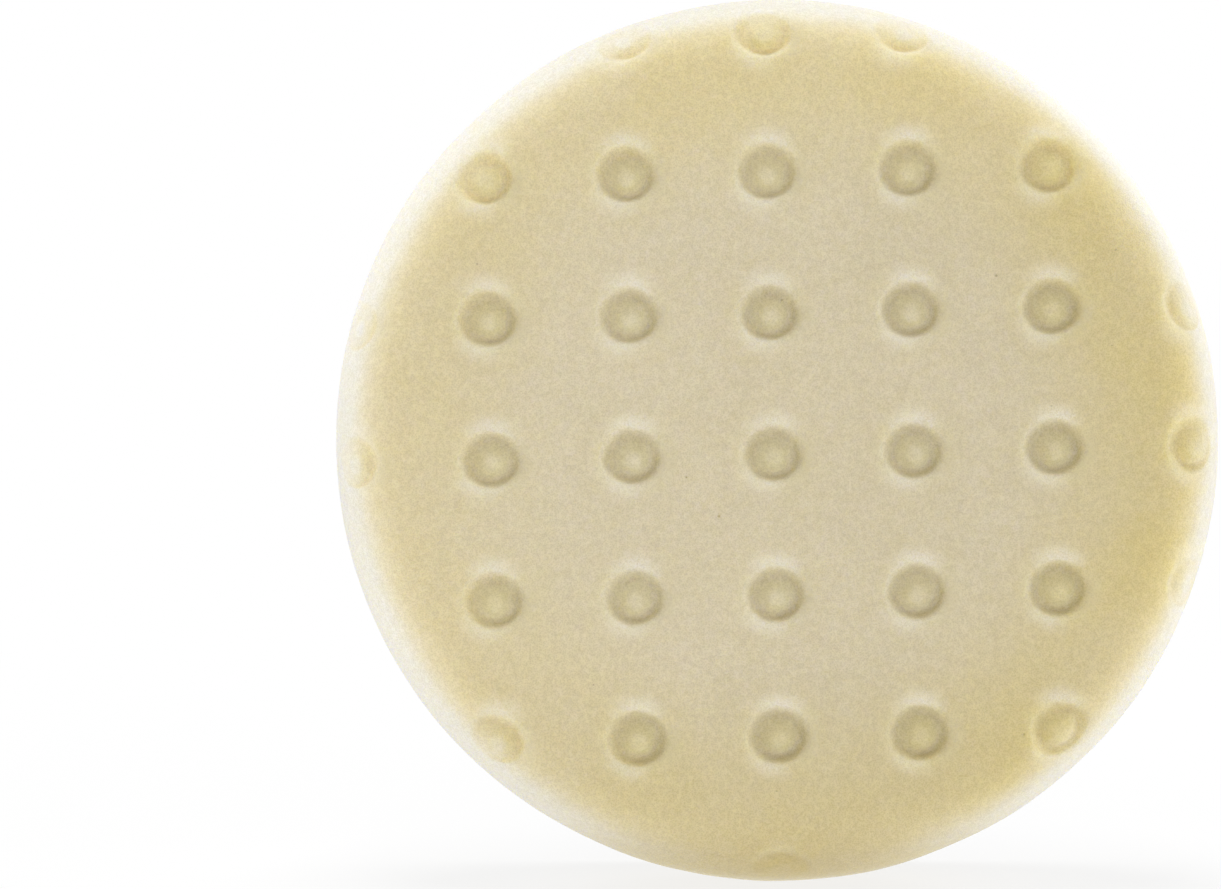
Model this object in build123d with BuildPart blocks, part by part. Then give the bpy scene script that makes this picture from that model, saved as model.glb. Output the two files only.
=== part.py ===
"""Foam polishing pad with a pocketed face and a loop back, standing on its edge. Millimetres.

The spin axis runs along Y. The loop back faces +Y and the foam working face faces -Y. The origin
is the centre of the loop back, and +Z is up.
"""

from build123d import *
from math import asin, cos, degrees, hypot, radians, sin
import os

# the whole pad
PAD_RADIUS = 82.55  # at the widest part of the foam
PAD_DEPTH = 31.75  # from the tips of the loops to the working face
LOOP_RADIUS = 76.2  # the loop cloth and its film, for backing plates of 125 to 150 mm

# layers behind the foam, from the back
PILE_DEPTH = 1.6  # height of the loops
GROUND_DEPTH = 0.8  # knitted cloth that the loops stand on
FILM_DEPTH = 0.3  # hot-melt adhesive film
FOAM_BACK = PILE_DEPTH + GROUND_DEPTH + FILM_DEPTH

# the foam's outline: flat face, shoulder arc, then one side arc over the widest part to the back
SHOULDER_RADIUS = 12.0
SHOULDER_TURN = 50  # degrees, from the working face to where the side arc takes over
SIDE_RADIUS = 18.0
SHOULDER_DROP = SHOULDER_RADIUS * (1 - cos(radians(SHOULDER_TURN)))
WIDEST_DEPTH = PAD_DEPTH - SHOULDER_DROP - SIDE_RADIUS * cos(radians(SHOULDER_TURN))
SIDE_TURN = 90 - SHOULDER_TURN + degrees(asin((WIDEST_DEPTH - FOAM_BACK) / SIDE_RADIUS))
SIDE_CENTRE_RADIUS = PAD_RADIUS - SIDE_RADIUS
FACE_RADIUS = SIDE_CENTRE_RADIUS + (SIDE_RADIUS - SHOULDER_RADIUS) * sin(radians(SHOULDER_TURN))

# round pockets in a square grid, which lies a little turned and off the pad's centre
POCKET_PITCH = 25.4
POCKET_TURN = 1.25  # degrees, anticlockwise as the working face is seen
GRID_SHIFT = Vector(-2.0, -2.4)  # the middle pocket, to the right and up on the working face
POCKET_REACH = 81.8  # along the surface; the pockets end here, before the trimmed side
POCKET_LIP_RADIUS = 5.3
POCKET_DEPTH = 1.4  # of the ring round the pocket's domed floor
POCKET_RING_RADIUS = 3.4
POCKET_DOME_DEPTH = 0.7  # of the middle of the floor
POCKET_LIP_SLOPE = 35  # degrees, between the wall and the face at the lip
POCKET_CLEARANCE = 1.5  # how far the cutter stands out of the foam


def foam_profile():
    """Half section of the foam, from the spin axis outwards, to be turned about Y."""
    with BuildSketch(Plane.XY) as section:
        with BuildLine():
            face = Line((0, -PAD_DEPTH), (FACE_RADIUS, -PAD_DEPTH))
            shoulder = JernArc(face @ 1, face % 1, SHOULDER_RADIUS, SHOULDER_TURN)
            side = JernArc(shoulder @ 1, shoulder % 1, SIDE_RADIUS, SIDE_TURN)
            back = Line(side @ 1, (0, -FOAM_BACK))
            Line(back @ 1, face @ 0)
        make_face()
    return section.sketch


def surface_plane(across, up):
    """Plane on the foam where a point of the flat grid lands when it is bent over the shoulder."""
    reach = hypot(across, up)
    radius = min(reach, FACE_RADIUS)
    depth = PAD_DEPTH
    tilt = 0.0
    left = reach - radius
    for arc_radius, arc_turn in ((SHOULDER_RADIUS, SHOULDER_TURN), (SIDE_RADIUS, SIDE_TURN)):
        turn = min(left / arc_radius, radians(arc_turn))
        radius += arc_radius * (sin(tilt + turn) - sin(tilt))
        depth -= arc_radius * (cos(tilt) - cos(tilt + turn))
        tilt += turn
        left -= turn * arc_radius
    outward = Vector(across, 0, up).normalized()
    return Plane(
        origin=outward * radius - Vector(0, depth, 0),
        x_dir=outward.cross(Vector(0, 1, 0)),
        z_dir=outward * sin(tilt) - Vector(0, cos(tilt), 0),
    )


def pocket_planes():
    """Every pocket of the grid whose centre lies inside POCKET_REACH."""
    turn = radians(POCKET_TURN)
    steps = range(-4, 5)
    planes = []
    for column in steps:
        for row in steps:
            across = GRID_SHIFT.X + POCKET_PITCH * (column * cos(turn) - row * sin(turn))
            up = GRID_SHIFT.Y + POCKET_PITCH * (column * sin(turn) + row * cos(turn))
            if hypot(across, up) < POCKET_REACH:
                planes.append(surface_plane(across, up))
    return planes


# One pocket as a cutter, with its mouth in the XY plane. The lip leans outwards, the wall drops
# to a ring, and the floor rises again to a low dome where the cells were pressed less.
wall_run = Vector(cos(radians(POCKET_LIP_SLOPE)), sin(radians(POCKET_LIP_SLOPE)))
lip = Vector(POCKET_LIP_RADIUS, 0)
cutter_rim = lip + wall_run * (POCKET_CLEARANCE / wall_run.Y)

with BuildPart() as pocket_cutter:
    with BuildSketch(Plane.XZ):
        with BuildLine():
            Spline(
                (0, -POCKET_DOME_DEPTH), (POCKET_RING_RADIUS, -POCKET_DEPTH),
                tangents=[(1, 0), (1, 0)],
            )
            Spline((POCKET_RING_RADIUS, -POCKET_DEPTH), lip, tangents=[(1, 0), wall_run])
            Line(lip, cutter_rim)
            Line(cutter_rim, (0, POCKET_CLEARANCE))
            Line((0, POCKET_CLEARANCE), (0, -POCKET_DOME_DEPTH))
        make_face()
    revolve(axis=Axis.Z)

# Foam disc: flat working face, round shoulder, side that draws in to the back, and the pockets
with BuildPart() as foam_disc:
    add(foam_profile())
    revolve(axis=Axis.Y)
    with Locations(*pocket_planes()):
        add(pocket_cutter.part, mode=Mode.SUBTRACT)

# Adhesive film between the foam and the cloth
with BuildPart() as bond_film:
    with BuildSketch(Plane.XZ.offset(PILE_DEPTH + GROUND_DEPTH)):
        Circle(LOOP_RADIUS)
    extrude(amount=FILM_DEPTH)

# Knitted ground cloth
with BuildPart() as loop_ground:
    with BuildSketch(Plane.XZ.offset(PILE_DEPTH)):
        Circle(LOOP_RADIUS)
    extrude(amount=GROUND_DEPTH)

# Standing loops, as the plain disc that they fill
with BuildPart() as loop_pile:
    with BuildSketch(Plane.XZ):
        Circle(LOOP_RADIUS)
    extrude(amount=PILE_DEPTH)

foam_disc.part.label = "foam_disc"
bond_film.part.label = "bond_film"
loop_ground.part.label = "loop_ground"
loop_pile.part.label = "loop_pile"

os.makedirs("parts", exist_ok=True)
for piece in (foam_disc, bond_film, loop_ground, loop_pile):
    export_step(piece.part, f"parts/{piece.part.label}.step")
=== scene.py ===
"""Looks of the foam polishing pad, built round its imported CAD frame. Metres, unless a name says mm.

The spin axis runs along Y: the pocketed foam face looks to -Y and the loop back to +Y.
"""
import random
from math import cos, hypot, pi, radians, sin

import bpy
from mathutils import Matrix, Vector, geometry, noise


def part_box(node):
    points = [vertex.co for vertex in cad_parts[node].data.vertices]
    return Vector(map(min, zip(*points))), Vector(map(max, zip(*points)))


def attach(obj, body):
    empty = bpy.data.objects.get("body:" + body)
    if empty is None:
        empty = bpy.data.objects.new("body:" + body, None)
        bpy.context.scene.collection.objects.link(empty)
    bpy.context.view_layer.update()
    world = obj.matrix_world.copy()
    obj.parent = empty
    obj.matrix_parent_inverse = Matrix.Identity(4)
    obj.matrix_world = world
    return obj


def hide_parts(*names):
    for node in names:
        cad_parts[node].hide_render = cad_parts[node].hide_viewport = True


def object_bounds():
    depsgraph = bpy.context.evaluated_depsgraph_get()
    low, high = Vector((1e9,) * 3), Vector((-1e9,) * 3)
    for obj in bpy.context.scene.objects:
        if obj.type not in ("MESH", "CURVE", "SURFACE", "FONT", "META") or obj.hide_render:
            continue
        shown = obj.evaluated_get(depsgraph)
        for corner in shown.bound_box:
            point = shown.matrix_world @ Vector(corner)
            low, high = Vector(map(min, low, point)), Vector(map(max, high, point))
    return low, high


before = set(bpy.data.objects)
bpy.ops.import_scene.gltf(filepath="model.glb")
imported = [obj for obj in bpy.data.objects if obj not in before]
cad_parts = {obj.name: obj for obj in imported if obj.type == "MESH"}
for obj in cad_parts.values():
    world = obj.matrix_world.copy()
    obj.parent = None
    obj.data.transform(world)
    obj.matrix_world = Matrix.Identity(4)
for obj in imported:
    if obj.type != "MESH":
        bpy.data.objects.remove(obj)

cad_low, cad_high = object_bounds()
MM = 0.001
draw = random.Random(7)

# places and sizes from the frame
foam_low, foam_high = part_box("foam_disc")
ground_low, ground_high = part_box("loop_ground")
pile_low, pile_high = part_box("loop_pile")
FACE_Y_MM = foam_low.y / MM
FOAM_BACK_Y_MM = foam_high.y / MM
LOOP_RADIUS_MM = (pile_high.x - pile_low.x) / 2 / MM

# the foam's outline, as in the CAD part: flat face, shoulder arc, side arc over the widest part
SHOULDER_RADIUS_MM, SHOULDER_TURN = 12.0, radians(50)
SIDE_RADIUS_MM, SIDE_TURN = 18.0, radians(87.13)
PAD_RADIUS_MM = 82.55
FACE_RADIUS_MM = (
    PAD_RADIUS_MM - SIDE_RADIUS_MM + (SIDE_RADIUS_MM - SHOULDER_RADIUS_MM) * sin(SHOULDER_TURN)
)
OUTLINE_REACH_MM = (
    FACE_RADIUS_MM + SHOULDER_RADIUS_MM * SHOULDER_TURN + SIDE_RADIUS_MM * SIDE_TURN
)

# the pocket grid, as in the CAD part
POCKET_PITCH_MM, POCKET_TURN = 25.4, radians(1.25)
GRID_ACROSS_MM, GRID_UP_MM = -2.0, -2.4
POCKET_REACH_MM = 81.8


# ---------------------------------------------------------------- node helpers


class Shader:
    """A material's node tree, with short calls to add and join nodes."""

    def __init__(self, name):
        self.material = bpy.data.materials.new(name)
        self.material.use_nodes = True
        self.nodes = self.material.node_tree.nodes
        self.links = self.material.node_tree.links
        self.surface = self.nodes["Principled BSDF"]
        self.place = self.add("ShaderNodeTexCoord").outputs["Object"]

    def add(self, kind, **settings):
        node = self.nodes.new(kind)
        for key, value in settings.items():
            setattr(node, key, value)
        return node

    def feed(self, value, socket):
        if isinstance(value, bpy.types.NodeSocket):
            self.links.new(value, socket)
        else:
            socket.default_value = value

    def math(self, operation, a, b=0.0, clamp=False):
        node = self.add("ShaderNodeMath", operation=operation, use_clamp=clamp)
        self.feed(a, node.inputs[0])
        self.feed(b, node.inputs[1])
        return node.outputs[0]

    def axes(self):
        """The place as its X, Y and Z."""
        node = self.add("ShaderNodeSeparateXYZ")
        self.links.new(self.place, node.inputs[0])
        return node.outputs

    def distance(self, a, b):
        """The length of a flat vector whose parts are a and b."""
        return self.math("SQRT", self.math("ADD", self.math("MULTIPLY", a, a),
                                           self.math("MULTIPLY", b, b)))

    def noise(self, size_mm, detail=2.0, rough=0.5, warp=0.0):
        node = self.add("ShaderNodeTexNoise")
        self.links.new(self.place, node.inputs["Vector"])
        node.inputs["Scale"].default_value = 1 / (size_mm * MM)
        node.inputs["Detail"].default_value = detail
        node.inputs["Roughness"].default_value = rough
        node.inputs["Distortion"].default_value = warp
        return node.outputs["Fac"]

    def cells(self, size_mm, output="Distance"):
        node = self.add("ShaderNodeTexVoronoi")
        self.links.new(self.place, node.inputs["Vector"])
        node.inputs["Scale"].default_value = 1 / (size_mm * MM)
        return node.outputs[output]

    def span(self, value, low, high, to_low=0.0, to_high=1.0):
        node = self.add("ShaderNodeMapRange", interpolation_type="SMOOTHSTEP")
        self.feed(value, node.inputs["Value"])
        for name, number in zip(("From Min", "From Max", "To Min", "To Max"),
                                (low, high, to_low, to_high)):
            node.inputs[name].default_value = number
        return node.outputs["Result"]

    def mix(self, share, a, b, blend="MIX"):
        node = self.add("ShaderNodeMix", data_type="RGBA", blend_type=blend)
        self.feed(share, node.inputs[0])
        self.feed(a, node.inputs[6])
        self.feed(b, node.inputs[7])
        return node.outputs[2]

    def bump(self, height, depth_mm, strength=1.0, under=None):
        node = self.add("ShaderNodeBump")
        node.inputs["Strength"].default_value = strength
        node.inputs["Distance"].default_value = depth_mm * MM
        self.links.new(height, node.inputs["Height"])
        if under:
            self.links.new(under, node.inputs["Normal"])
        return node.outputs["Normal"]

    def set(self, **values):
        for name, value in values.items():
            self.feed(value, self.surface.inputs[name.replace("_", " ")])


# ---------------------------------------------------------------- materials


# foam colours
CREAM, PALE_CREAM = (0.880, 0.797, 0.602, 1), (0.895, 0.812, 0.622, 1)
# painted light: the warm glow of light that passes through the foam round the shoulder
SHOULDER_GLOW = (0.90, 0.78, 0.42, 1)  # round the shoulder
# the pockets: partly the compressed foam's own darker colour, partly painted shade in their deepest ring
# and lower right; yellower in the painted glow on the shoulder
PRESSED_AND_SHADED, PRESSED_IN_GLOW = (0.725, 0.635, 0.33, 1), (0.88, 0.76, 0.35, 1)
# the side behind the face: paler as cut foam, and partly painted light, as the paleness fades out at the
# bottom where less light falls
PALE_LIT_SIDE = (0.91, 0.88, 0.79, 1)
# painted shade in small holes where cells are torn open
PINHOLE_SHADE = (0.36, 0.28, 0.13, 1)
# painted highlight and painted shade round the pockets' mouths, as light falls on their lips: lighter
# above and lower left, darker on the right
LIP_HIGHLIGHT, LIP_SHADE = (0.93, 0.88, 0.785, 1), (0.72, 0.64, 0.42, 1)  # round the pockets' mouths
# and colours that are multiplied into them: painted shade, darker towards the right and at the bottom
# where less light falls, and random mottling
PAINTED_SHADE, PAINTED_BOTTOM_SHADE = (0.87, 0.86, 0.83, 1), (0.77, 0.71, 0.55, 1)
MOTTLE, FINE_MOTTLE = (0.91, 0.895, 0.81, 1), (0.77, 0.75, 0.66, 1)
CELL_SHADE = (0.73, 0.70, 0.60, 1)


def tint_and_painted_light(s, pressed_shade):
    """The foam's broad colours: a painted glow of light through the shoulder, the pockets' own tint with
    painted shade, a paler side partly painted light, and painted shade towards the right and the bottom.
    """
    x, y, z = s.axes()
    away = s.distance(x, z)
    behind = s.math("SUBTRACT", y, FACE_Y_MM * MM)
    # painted shade at the very bottom, where the pad stands on the floor; the painted glow is put there
    # too
    bottom = s.span(z, -0.081, -0.068, 1.0, 0.0)
    tint = s.mix(s.span(s.noise(22, 3), 0.35, 0.65), CREAM, PALE_CREAM)

    # painted light: the warm glow through the shoulder, stronger towards the right and at the bottom
    patches = s.span(s.noise(30, 2), 0.3, 0.7, 0.65, 1.15)
    to_the_right = s.math("ADD", s.math("MULTIPLY", x, 4.5), 0.88)
    yellow = s.math("MULTIPLY", s.span(away, 0.040, 0.068), s.math("MULTIPLY", to_the_right, patches))
    front = s.math("MAXIMUM", s.span(behind, 0.0006, 0.006, 1.0, 0.0), bottom)
    tint = s.mix(s.math("MULTIPLY", s.math("MULTIPLY", yellow, front), 0.74, True), tint, SHOULDER_GLOW)
    # the pockets: partly the compressed foam's own colour, partly painted shade; on the shoulder
    # yellower in the painted glow
    floor_tint = s.mix(s.span(away, 0.056, 0.073), PRESSED_AND_SHADED, PRESSED_IN_GLOW)
    tint = s.mix(s.math("MULTIPLY", pressed_shade, 0.47), tint, floor_tint)

    # paler side: partly the cut foam's own colour, partly painted light that fades out towards the
    # bottom
    side = s.math("MULTIPLY", s.span(behind, 0.0003, 0.0048), s.span(z, -0.082, -0.060, 0.0, 0.95))
    side = s.math("MULTIPLY", side, s.span(pressed_shade, 0.0, 1.0, 1.0, 0.35))
    tint = s.mix(side, tint, PALE_LIT_SIDE)
    # painted shade: darker towards the right and low down, lighter high up
    aside = s.math("ADD", s.math("MULTIPLY", x, 5.5), 0.40)
    height = s.math("SUBTRACT", s.span(z, -0.075, -0.028, 0.5, 0.0), s.span(z, 0.030, 0.070, 0.0, 0.45))
    tint = s.mix(s.math("ADD", aside, height, True), tint, PAINTED_SHADE, "MULTIPLY")
    # and more painted shade, yellower, at the very bottom
    return s.mix(bottom, tint, PAINTED_BOTTOM_SHADE, "MULTIPLY")


def pinholes(s):
    """Where a cell is torn open: small round spots, far apart, each of its own size."""
    spacing_mm = 5.5
    chosen = s.add("ShaderNodeSeparateColor")
    s.links.new(s.cells(spacing_mm, "Color"), chosen.inputs[0])
    size = s.math("MULTIPLY", s.span(chosen.outputs[0], 0.45, 1.0), 0.05)
    return s.span(s.math("SUBTRACT", size, s.cells(spacing_mm)), -0.006, 0.02)


def foam_material():
    """Cream open-cell foam: broad tint with painted light and shade, fine cells, a few pinholes painted
    dark as shade, and painted highlight and shade round the pockets.
    """
    s = Shader("foam")
    # the pockets' tint with painted shade, and the painted highlight and shade on their lips
    pressed_shade = s.add("ShaderNodeAttribute", attribute_name="pressed_shade").outputs["Fac"]
    lip_light_and_shade = s.add("ShaderNodeAttribute", attribute_name="lip_light_and_shade").outputs["Fac"]
    tint = tint_and_painted_light(s, pressed_shade)
    for size_mm, detail, share, shade in ((2.6, 4, 0.32, MOTTLE), (0.9, 2, 0.30, FINE_MOTTLE)):
        spots = s.span(s.noise(size_mm, detail, 0.6), 0.3, 0.7, 0.0, share)
        tint = s.mix(spots, tint, shade, "MULTIPLY")
    cells = s.cells(0.31)
    grain = s.noise(0.24, 3, 0.6)
    between = s.span(s.math("MULTIPLY", cells, grain), 0.06, 0.36, 0.45, 0.0)
    tint = s.mix(between, tint, CELL_SHADE, "MULTIPLY")
    hole = pinholes(s)
    # painted shade in the pinholes
    tint = s.mix(s.math("MULTIPLY", hole, 0.5), tint, PINHOLE_SHADE)
    # painted highlight on the pockets' lips, frayed by the grain; below 0 painted shade
    lit_lip = s.math("MULTIPLY", lip_light_and_shade, s.span(grain, 0.3, 0.7, 0.25, 0.85), True)
    tint = s.mix(lit_lip, tint, LIP_HIGHLIGHT)
    tint = s.mix(s.math("MULTIPLY", lip_light_and_shade, -0.45, True), tint, LIP_SHADE)

    s.set(Base_Color=tint, Roughness=0.88, IOR=1.35)
    s.set(Subsurface_Weight=0.85, Subsurface_Radius=(1.0, 0.88, 0.36), Subsurface_Scale=0.006)
    s.set(Sheen_Weight=0.35, Sheen_Roughness=0.5, Sheen_Tint=(1.0, 1.0, 1.0, 1))
    s.surface.inputs["Specular IOR Level"].default_value = 0.25
    fine = s.bump(s.math("MULTIPLY", cells, s.span(grain, 0.2, 0.8, 0.5, 1.0)), 0.12, 0.55)
    soft = s.bump(s.noise(3.2, 2), 0.25, 0.35, fine)
    s.set(Normal=s.bump(s.math("MULTIPLY", hole, -1.0), 0.25, 0.8, soft))
    return s.material


def film_material():
    """Hot-melt film: thin, darkened by the black cloth under it, a little glossy and uneven."""
    s = Shader("bond_film")
    flow = s.noise(1.4, 3, 0.6, 0.6)
    s.set(Base_Color=s.mix(flow, (0.035, 0.030, 0.026, 1), (0.085, 0.070, 0.050, 1)))
    s.set(Roughness=s.span(flow, 0.3, 0.7, 0.32, 0.55))
    s.set(Normal=s.bump(flow, 0.1, 0.6))
    return s.material


def ground_material():
    """Black knitted cloth: rows of small stitches, matt, a little lighter where the stitches stand
    highest.
    """
    s = Shader("ground_cloth")
    x, _, z = s.axes()
    row = s.math("SINE", s.math("MULTIPLY", z, 2 * pi / (LOOP_PITCH_MM * MM)))
    column = s.math("SINE", s.math("MULTIPLY", x, 2 * pi / (LOOP_PITCH_MM * MM)))
    stitch = s.span(s.math("MULTIPLY", row, column), -1.0, 1.0)
    yarn = s.noise(0.25, 3, 0.6)
    tint = s.mix(yarn, (0.006, 0.005, 0.006, 1), (0.022, 0.019, 0.021, 1))
    s.set(Base_Color=s.mix(s.math("MULTIPLY", stitch, 0.4), tint, (0.032, 0.029, 0.031, 1)))
    s.set(Roughness=s.span(yarn, 0.2, 0.8, 0.75, 0.95))
    s.set(Sheen_Weight=0.2, Sheen_Roughness=0.4, Sheen_Tint=(0.6, 0.58, 0.62, 1))
    s.surface.inputs["Specular IOR Level"].default_value = 0.3
    s.set(Normal=s.bump(stitch, 0.15, 0.7, s.bump(yarn, 0.06, 0.6)))
    return s.material


def yarn_material():
    """Black nylon filament: a soft lustre with glints, and slow shifts of shade over the cloth."""
    s = Shader("loop_yarn")
    shade = s.span(s.noise(0.9, 2), 0.3, 0.7)
    tint = s.mix(shade, (0.010, 0.0076, 0.0080, 1), (0.040, 0.030, 0.032, 1))
    tint = s.mix(s.span(s.noise(24, 2), 0.4, 0.7, 0.0, 0.35), tint, (0.026, 0.022, 0.034, 1))
    s.set(Base_Color=tint, IOR=1.53)
    s.set(Roughness=s.span(s.noise(0.35, 2), 0.3, 0.7, 0.24, 0.56))
    s.set(Sheen_Weight=0.3, Sheen_Roughness=0.3, Sheen_Tint=(0.8, 0.78, 0.82, 1))
    s.set(Normal=s.bump(s.noise(0.12, 2, 0.6), 0.04, 0.7))
    return s.material


# ---------------------------------------------------------------- mesh helpers


def mesh_piece(name, points_mm, faces, material):
    """A smooth-shaded mesh object from points in millimetres."""
    mesh = bpy.data.meshes.new(name)
    mesh.from_pydata([Vector(p) * MM for p in points_mm], [], faces)
    mesh.update()
    mesh.polygons.foreach_set("use_smooth", [True] * len(mesh.polygons))
    mesh.materials.append(material)
    piece = bpy.data.objects.new(name, mesh)
    bpy.context.collection.objects.link(piece)
    return piece


def ease(value, low, high):
    """0 below low, 1 above high, smooth between."""
    t = min(1.0, max(0.0, (value - low) / (high - low)))
    return t * t * (3 - 2 * t)


def through(knots, count):
    """count points along a smooth curve through the knots."""
    ends = [knots[0]] + list(knots) + [knots[-1]]
    spots = []
    for i in range(count):
        t = i * (len(knots) - 1) / (count - 1)
        k = min(int(t), len(knots) - 2)
        t -= k
        a, b, c, d = (Vector(p) for p in ends[k:k + 4])
        spots.append(
            0.5 * (2 * b + (c - a) * t + (2 * a - 5 * b + 4 * c - d) * t ** 2
                   + (3 * b - a - 3 * c + d) * t ** 3)
        )
    return spots


# ---------------------------------------------------------------- foam


def on_outline(reach):
    """(radius, depth behind the face, tilt) at a distance along the outline from the spin axis."""
    radius = min(reach, FACE_RADIUS_MM)
    depth = tilt = 0.0
    left = reach - radius
    for arc_radius, arc_turn in (
        (SHOULDER_RADIUS_MM, SHOULDER_TURN), (SIDE_RADIUS_MM, SIDE_TURN)
    ):
        turn = min(left / arc_radius, arc_turn)
        radius += arc_radius * (sin(tilt + turn) - sin(tilt))
        depth += arc_radius * (cos(tilt) - cos(tilt + turn))
        tilt += turn
        left -= turn * arc_radius
    return radius, depth, tilt


def foam_point(across, up, lift=0.0):
    """Point of the foam above a point of the flat grid, lifted off the outline by lift."""
    reach = hypot(across, up) or 1e-9
    radius, depth, tilt = on_outline(reach)
    out_x, out_z = across / reach, up / reach
    spot = Vector((out_x * radius, FACE_Y_MM + depth, out_z * radius))
    normal = Vector((out_x * sin(tilt), -cos(tilt), out_z * sin(tilt)))
    lumps = 0.16 * noise.noise(spot / 17) + 0.05 * noise.noise(spot / 4.5)
    return spot + normal * (lift + lumps)


def pocket_centres():
    """Centres of the pockets on the flat grid."""
    centres = []
    for column in range(-4, 5):
        for row in range(-4, 5):
            across = GRID_ACROSS_MM + POCKET_PITCH_MM * (
                column * cos(POCKET_TURN) - row * sin(POCKET_TURN)
            )
            up = GRID_UP_MM + POCKET_PITCH_MM * (
                column * sin(POCKET_TURN) + row * cos(POCKET_TURN)
            )
            if hypot(across, up) < POCKET_REACH_MM:
                centres.append((across, up))
    return centres


# Half section of a pocket: (distance from its axis, depth). A low dome, the ring pressed deepest,
# a steep wall, and a broad swollen lip round the mouth.
POCKET_SECTION_MM = (
    (0.0, 0.70), (1.2, 0.77), (2.4, 1.10), (3.3, 1.40), (4.0, 1.30), (4.55, 0.84), (5.05, 0.32),
    (5.5, 0.02), (6.2, -0.13), (7.0, -0.12), (8.2, -0.04), (9.6, 0.0),
)
# The same on the side where the wall is pressed to a gentle slope.
GENTLE_SECTION_MM = (
    (0.0, 0.70), (1.2, 0.77), (2.4, 1.10), (3.3, 1.38), (4.1, 1.25), (4.8, 0.92), (5.5, 0.55),
    (6.2, 0.27), (6.9, 0.11), (7.7, 0.03), (8.6, 0.0), (9.6, 0.0),
)
GENTLE_TOWARDS = radians(-12)  # anticlockwise from the right, as the face is seen
POCKET_RINGS, POCKET_SIDES = 27, 56
MOUTH_STRETCH = Vector((1.05, 0.97))  # the mouths are a little wider than high
POCKET_LEAN_MM = Vector((0.35, -0.35))  # the floor is pressed off the mouth's centre
DOME_LEAN_MM = Vector((0.05, -0.55))  # and its dome sits low in it
STEEP_TOWARDS = radians(-50)  # where the floor is pressed deepest against the wall
SHOULDER_SHALLOWER = 0.25  # share of the depth that is lost towards the trimmed side
SHOULDER_SHIFT_MM = 0.6  # the pockets there lie further out
SHOULDER_OPENS_MM = (70.5, 81.5)  # and their outer walls fade out between these reaches
PATCH_MM = POCKET_SECTION_MM[-1][0]
FIELD_STEP_MM = 1.8
FIELD_REACH_MM = 91.5  # where the rings of the side take over
SIDE_SEGMENTS, SIDE_RINGS = 320, 16


def kept_share(place):
    """How much of a pocket is left at a place on the flat grid: the shoulder cuts it open."""
    return 1 - ease(place.length, *SHOULDER_OPENS_MM)


def lip_swell_and_light(angle):
    """How far the lip swells at an angle, and how much painted highlight lies on it there; below 0 it is
    flatter and carries painted shade.
    """
    return (0.04 - 0.32 * cos(angle) + 0.20 * sin(angle)
            - 0.66 * cos(2 * angle) + 0.26 * sin(2 * angle))


def pocket_points(number, across, up):
    """[(flat place for the triangulation, point in space, share of the compressed foam's tint and
    painted shade, the lip's painted highlight and shade)] of one pocket.
    """
    steep_section = through(POCKET_SECTION_MM, POCKET_RINGS)
    gentle_section = through(GENTLE_SECTION_MM, POCKET_RINGS)
    shallow = 1 - SHOULDER_SHALLOWER * ease(hypot(across, up), FACE_RADIUS_MM - 8, POCKET_REACH_MM)
    centre = Vector((across, up))
    outwards = centre.normalized() * SHOULDER_SHIFT_MM * ease(hypot(across, up), 68, 78)
    middle = centre + (POCKET_LEAN_MM + DOME_LEAN_MM) + outwards
    sink = steep_section[0].y * shallow * kept_share(middle)
    made = [((across, up), foam_point(*middle, -sink), 0.1, 0.0)]
    for ring in range(1, POCKET_RINGS):
        flat = PATCH_MM * ring / (POCKET_RINGS - 1)
        for side in range(POCKET_SIDES):
            angle = 2 * pi * (side + 0.5 * (ring % 2)) / POCKET_SIDES
            way = Vector((cos(angle), sin(angle)))
            gentle = max(0.0, cos(angle - GENTLE_TOWARDS)) ** 2
            away, depth = steep_section[ring].lerp(gentle_section[ring], gentle)
            ragged = noise.noise(Vector((way.x, way.y, number * 3.7)))
            dent = noise.noise(Vector((way.x * away / 3, way.y * away / 3, number * 5.3 + 40)))
            steep = max(0.0, cos(angle - STEEP_TOWARDS))
            swell_and_light = lip_swell_and_light(angle)
            sink = depth * shallow * (1 + 0.1 * dent)
            if depth > 0:
                sink *= 1 + 0.3 * steep * ease(away, 1.5, 3.6)
            else:
                sink *= 0.6 + 0.4 * swell_and_light
            loose = ease(away, 2.0, 4.5) * (1 - ease(away, 5.5, 9.0))
            stretch = Vector((1, 1)).lerp(MOUTH_STRETCH, loose)
            spot = way * (away + 0.09 * ragged * loose) * stretch
            spot += POCKET_LEAN_MM * (1 - ease(away, 3.6, 5.6))
            spot += DOME_LEAN_MM * (1 - ease(away, 0, 3.4))
            spot += centre + outwards * (1 - ease(away, 5.0, 9.0))
            kept = kept_share(spot)
            ring_share = ease(away, 0.7, 2.2) * (1 - ease(away, 4.3, 5.3 + gentle))
            corner_share = ease(away, 3.2, 4.2) * (1 - ease(away, 4.5, 5.3))
            lip = ease(away, 4.8, 5.9) * (1 - ease(away, 6.0, 9.0))
            made.append((
                (across + way.x * flat, up + way.y * flat),
                foam_point(spot.x, spot.y, -sink * kept),
                # share of the compressed foam's tint and painted shade, most in the deepest ring and
                # towards the lower right
                (0.1 + 0.9 * ring_share + 0.6 * steep * corner_share) * (0.5 + 0.5 * kept),
                # painted highlight (above 0) and painted shade (below 0) on the lip, none at the bottom
                lip * swell_and_light * kept * ease(up, -84, -62),
            ))
    return made


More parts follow.
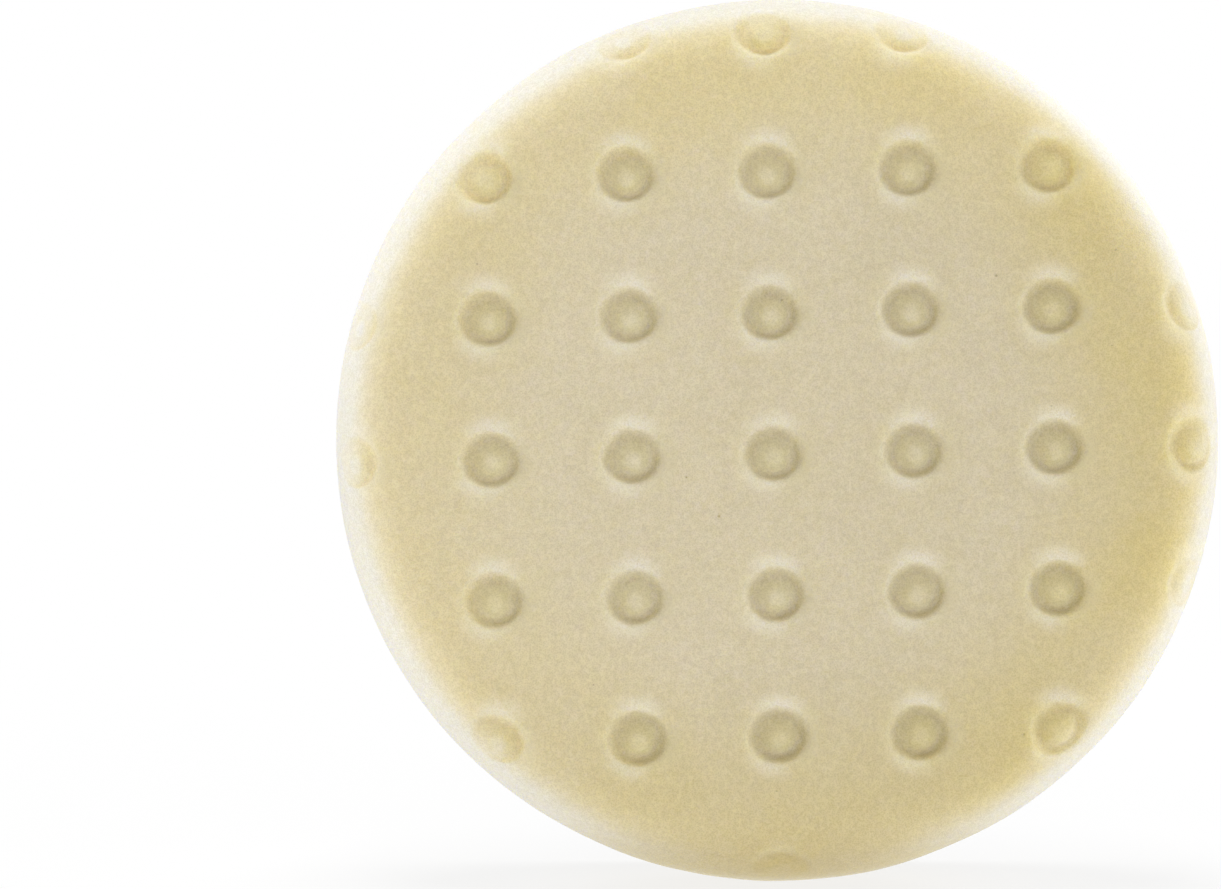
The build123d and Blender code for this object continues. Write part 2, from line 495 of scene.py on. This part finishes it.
def field_points(centres):
    """The same for the plain foam between the pockets, out to where the side begins."""
    made = []
    rows = int(FIELD_REACH_MM / (FIELD_STEP_MM * 0.866)) + 1
    columns = int(FIELD_REACH_MM / FIELD_STEP_MM) + 1
    for row in range(-rows, rows + 1):
        for column in range(-columns, columns + 1):
            across = (column + 0.5 * (row % 2)) * FIELD_STEP_MM
            up = row * FIELD_STEP_MM * 0.866
            if hypot(across, up) > FIELD_REACH_MM - 0.7 * FIELD_STEP_MM:
                continue
            if any(hypot(across - x, up - z) < PATCH_MM + 0.6 * FIELD_STEP_MM for x, z in centres):
                continue
            made.append(((across, up), foam_point(across, up), 0.0, 0.0))
    return made


def ring_points(reach):
    """Points round the foam at one reach."""
    turns = (2 * pi * k / SIDE_SEGMENTS for k in range(SIDE_SEGMENTS))
    return [foam_point(reach * cos(a), reach * sin(a)) for a in turns]


def foam_piece():
    """The foam: a triangulated face and shoulder with round pockets, and rings down the side."""
    centres = pocket_centres()
    made = field_points(centres)
    for number, (across, up) in enumerate(centres):
        made += pocket_points(number, across, up)
    rim = len(made)
    for k, point in enumerate(ring_points(FIELD_REACH_MM)):
        angle = 2 * pi * k / SIDE_SEGMENTS
        made.append(((FIELD_REACH_MM * cos(angle), FIELD_REACH_MM * sin(angle)), point, 0.0, 0.0))
    flat = [Vector(place) for place, _, _, _ in made]
    _, _, triangles, origins, _, _ = geometry.delaunay_2d_cdt(flat, [], [], 0, 1e-5, True)
    faces = [tuple(origins[corner][0] for corner in t) for t in triangles]
    points = [point for _, point, _, _ in made]
    pressed_shade = [share for _, _, share, _ in made]
    lip_light_and_shade = [share for _, _, _, share in made]

    step = (OUTLINE_REACH_MM - FIELD_REACH_MM) / SIDE_RINGS
    ring = list(range(rim, rim + SIDE_SEGMENTS))
    for k in range(1, SIDE_RINGS + 1):
        start = len(points)
        points += ring_points(FIELD_REACH_MM + k * step)
        following = list(range(start, start + SIDE_SEGMENTS))
        for j in range(SIDE_SEGMENTS):
            n = (j + 1) % SIDE_SEGMENTS
            faces.append((ring[n], ring[j], following[j], following[n]))
        ring = following
    for corner in ring:
        points[corner].y = FOAM_BACK_Y_MM
    faces.append(tuple(reversed(ring)))

    piece = mesh_piece("foam", points, faces, foam_material())
    for name, shares in (("pressed_shade", pressed_shade), ("lip_light_and_shade", lip_light_and_shade)):
        shares += [0.0] * (len(points) - len(shares))
        piece.data.attributes.new(name, "FLOAT", "POINT").data.foreach_set("value", shares)
    return piece


foam = foam_piece()
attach(foam, "root")
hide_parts("foam_disc")

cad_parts["bond_film"].data.materials.clear()
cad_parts["bond_film"].data.materials.append(film_material())


# ---------------------------------------------------------------- loop cloth

LOOP_PITCH_MM = 0.85
LOOP_TURN = radians(9)  # of the stitch rows, against the pocket grid
YARN_WIDE_MM, YARN_THICK_MM = 0.15, 0.09  # half sizes of a loop's flattened bundle
LOOP_STEPS = 4
GROUND_SEGMENTS = 1200


def ground_piece():
    """The knitted ground: a thin round sheet with a cut edge of uneven stitches."""
    low, high = ground_low.y / MM, ground_high.y / MM
    points, faces = [], []
    edge = []
    for k in range(GROUND_SEGMENTS):
        angle = 2 * pi * k / GROUND_SEGMENTS
        way = Vector((cos(angle), sin(angle), 0))
        edge.append(0.22 * noise.noise(way * 55) + 0.10 * draw.uniform(-1, 1))
    # (how far inside the edge, y) from the foam side round the cut edge to the back
    rows = [(inset, low) for inset in (60, 40, 20, 8, 2, 0.35)]
    rows += [(0.02, low + 0.2), (0.0, (low + high) / 2), (0.05, high - 0.15), (0.3, high)]
    rows += [(inset, high) for inset in (2, 6, 12, 20, 30, 40, 50, 60, 70)]
    for inset, y in rows:
        for k in range(GROUND_SEGMENTS):
            angle = 2 * pi * k / GROUND_SEGMENTS
            out = LOOP_RADIUS_MM - inset + edge[k] * (1 - ease(inset, 0.5, 4))
            points.append((out * cos(angle), y, out * sin(angle)))
    for r in range(len(rows) - 1):
        for k in range(GROUND_SEGMENTS):
            n = (k + 1) % GROUND_SEGMENTS
            a, b = r * GROUND_SEGMENTS, (r + 1) * GROUND_SEGMENTS
            faces.append((a + k, a + n, b + n, b + k))
    last = (len(rows) - 1) * GROUND_SEGMENTS
    faces.append(tuple(reversed(range(GROUND_SEGMENTS))))
    faces.append(tuple(range(last, last + GROUND_SEGMENTS)))
    return mesh_piece("ground_cloth", points, faces, ground_material())


def loop_mesh(points, faces, x, z):
    """One loop of yarn: a flattened strand that leaves the ground, arches over and goes back."""
    base = pile_low.y / MM - 0.15
    out = hypot(x, z)
    rim = ease(out, LOOP_RADIUS_MM - 1.6, LOOP_RADIUS_MM - 0.3)
    turn = LOOP_TURN + draw.gauss(0, 0.6) + radians(90)
    along = Vector((cos(turn), 0, sin(turn)))
    side = Vector((-along.z, 0, along.x))
    width = draw.uniform(0.5, 1.0)
    height = draw.uniform(0.95, 1.45) + 0.15
    lean = Vector((draw.gauss(0.06, 0.2), 0, draw.gauss(-0.15, 0.24)))
    lean += Vector((x, 0, z)) / max(out, 1e-6) * 0.38 * rim
    twist = draw.uniform(-0.5, 0.5)
    first = len(points)
    for step in range(LOOP_STEPS + 1):
        t = step / LOOP_STEPS
        rise = sin(pi * t) ** 0.7
        swell = cos(pi * t) * (0.5 + 0.22 * sin(pi * t))
        middle = Vector((x, base, z)) + along * (width * swell) + lean * rise ** 1.6
        middle.y += height * rise
        middle += side * (twist * (t - 0.5) * width)
        flow = (along * (-sin(pi * t)) * width + Vector((0, cos(pi * t) * height * 1.6, 0))).normalized()
        above = flow.cross(side).normalized()
        for turn_share in range(3):
            angle = 2 * pi * turn_share / 3 + 0.4
            points.append(middle + side * (cos(angle) * YARN_WIDE_MM)
                          + above * (sin(angle) * YARN_THICK_MM))
    for step in range(LOOP_STEPS):
        a = first + 3 * step
        for k in range(3):
            n = (k + 1) % 3
            faces.append((a + k, a + n, a + 3 + n, a + 3 + k))


def loop_sites():
    """Where the loops stand: rows of stitches, each a little out of place."""
    sites = []
    steps = int(LOOP_RADIUS_MM / LOOP_PITCH_MM) + 2
    for row in range(-steps, steps + 1):
        for column in range(-steps, steps + 1):
            u = (column + 0.5 * (row % 2)) * LOOP_PITCH_MM + draw.uniform(-0.24, 0.24)
            v = row * LOOP_PITCH_MM + draw.uniform(-0.24, 0.24)
            x = u * cos(LOOP_TURN) - v * sin(LOOP_TURN)
            z = u * sin(LOOP_TURN) + v * cos(LOOP_TURN)
            if hypot(x, z) < LOOP_RADIUS_MM - 0.35:
                sites.append((x, z))
    return sites


def loop_pieces():
    """The loops in four rings of equal area, so that no mesh grows too large."""
    names = ("loops_centre", "loops_inner", "loops_outer", "loops_rim")
    rings = {name: ([], []) for name in names}
    for x, z in loop_sites():
        share = (x * x + z * z) / LOOP_RADIUS_MM ** 2
        loop_mesh(*rings[names[min(3, int(share * 4))]], x, z)
    yarn = yarn_material()
    return [mesh_piece(name, points, faces, yarn) for name, (points, faces) in rings.items()]


ground = ground_piece()
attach(ground, "root")
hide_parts("loop_ground")
loops = loop_pieces()
for piece in loops:
    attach(piece, "root")
    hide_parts("loop_pile")


# ---------------------------------------------------------------- camera

PICTURE_WIDTH_PX = 1221
FOCAL_PX = 1884.5
SENSOR = 36.0

lens = bpy.data.cameras.new("camera")
lens.sensor_width = SENSOR
lens.lens = SENSOR * FOCAL_PX / PICTURE_WIDTH_PX
lens.clip_start, lens.clip_end = 0.01, 50.0
camera = bpy.data.objects.new("camera", lens)
camera.location = (-0.03103, -0.3709, -0.0008)
camera.rotation_euler = (radians(90), 0.0, 0.0)
bpy.context.collection.objects.link(camera)
bpy.context.scene.camera = camera


# ---------------------------------------------------------------- floor, backdrop and lights


def floor():
    """A pale floor that runs out into white, so that no horizon shows."""
    bpy.ops.mesh.primitive_circle_add(
        vertices=128, radius=5.5, fill_type="NGON", location=(0, 0, cad_low.z)
    )
    piece = bpy.context.object
    piece.name = "floor"
    s = Shader("floor")
    s.set(Base_Color=s.mix(s.noise(300, 2), (0.86, 0.86, 0.86, 1), (0.88, 0.88, 0.88, 1)))
    s.set(Roughness=0.9)
    x, y, _ = s.axes()
    away = s.distance(x, y)
    light = s.add("ShaderNodeEmission")
    blend = s.add("ShaderNodeMixShader")
    s.links.new(s.span(away, 0.02, 0.45, 0.8, 1.0), blend.inputs[0])
    s.links.new(s.surface.outputs[0], blend.inputs[1])
    s.links.new(light.outputs[0], blend.inputs[2])
    s.links.new(blend.outputs[0], s.nodes["Material Output"].inputs["Surface"])
    piece.data.materials.append(s.material)
    unseen_but_by_camera(piece)


def backdrop():
    """A white shell that only the camera sees."""
    bpy.ops.mesh.primitive_uv_sphere_add(segments=32, ring_count=16, radius=6)
    shell = bpy.context.object
    shell.name = "backdrop"
    material = bpy.data.materials.new("backdrop")
    material.use_nodes = True
    nodes = material.node_tree.nodes
    nodes.clear()
    light = nodes.new("ShaderNodeEmission")
    output = nodes.new("ShaderNodeOutputMaterial")
    material.node_tree.links.new(light.outputs[0], output.inputs["Surface"])
    shell.data.materials.append(material)
    unseen_but_by_camera(shell)


def unseen_but_by_camera(piece):
    """Keep the stage out of the light and the shadows."""
    for kind in ("diffuse", "glossy", "transmission", "volume_scatter", "shadow"):
        setattr(piece, f"visible_{kind}", False)


def softbox(name, place, watts, size):
    """A soft area light that looks at the pad's middle."""
    lamp = bpy.data.lights.new(name, "AREA")
    lamp.size = size
    lamp.energy = watts
    light = bpy.data.objects.new(name, lamp)
    light.location = place
    middle = Vector((0, (cad_low.y + cad_high.y) / 2, 0))
    light.rotation_euler = (middle - Vector(place)).to_track_quat("-Z", "Y").to_euler()
    light.visible_camera = False
    bpy.context.collection.objects.link(light)


floor()
backdrop()
softbox("front", (0.25, -1.60, -0.40), 14.6, 1.0)
softbox("left", (-1.70, 0.12, -0.50), 18.5, 0.9)
softbox("top", (-0.10, 0.06, 1.75), 23.5, 0.9)
softbox("right", (1.65, 0.14, -0.45), 20.0, 0.9)
softbox("back", (0.5, 1.70, 0.7), 12.0, 0.9)

world = bpy.data.worlds.new("world")
world.use_nodes = True
sky = world.node_tree.nodes["Background"]
sky.inputs["Color"].default_value = (1, 1, 1, 1)
sky.inputs["Strength"].default_value = 0.355
bpy.context.scene.world = world
bpy.context.scene.view_settings.view_transform = "Standard"
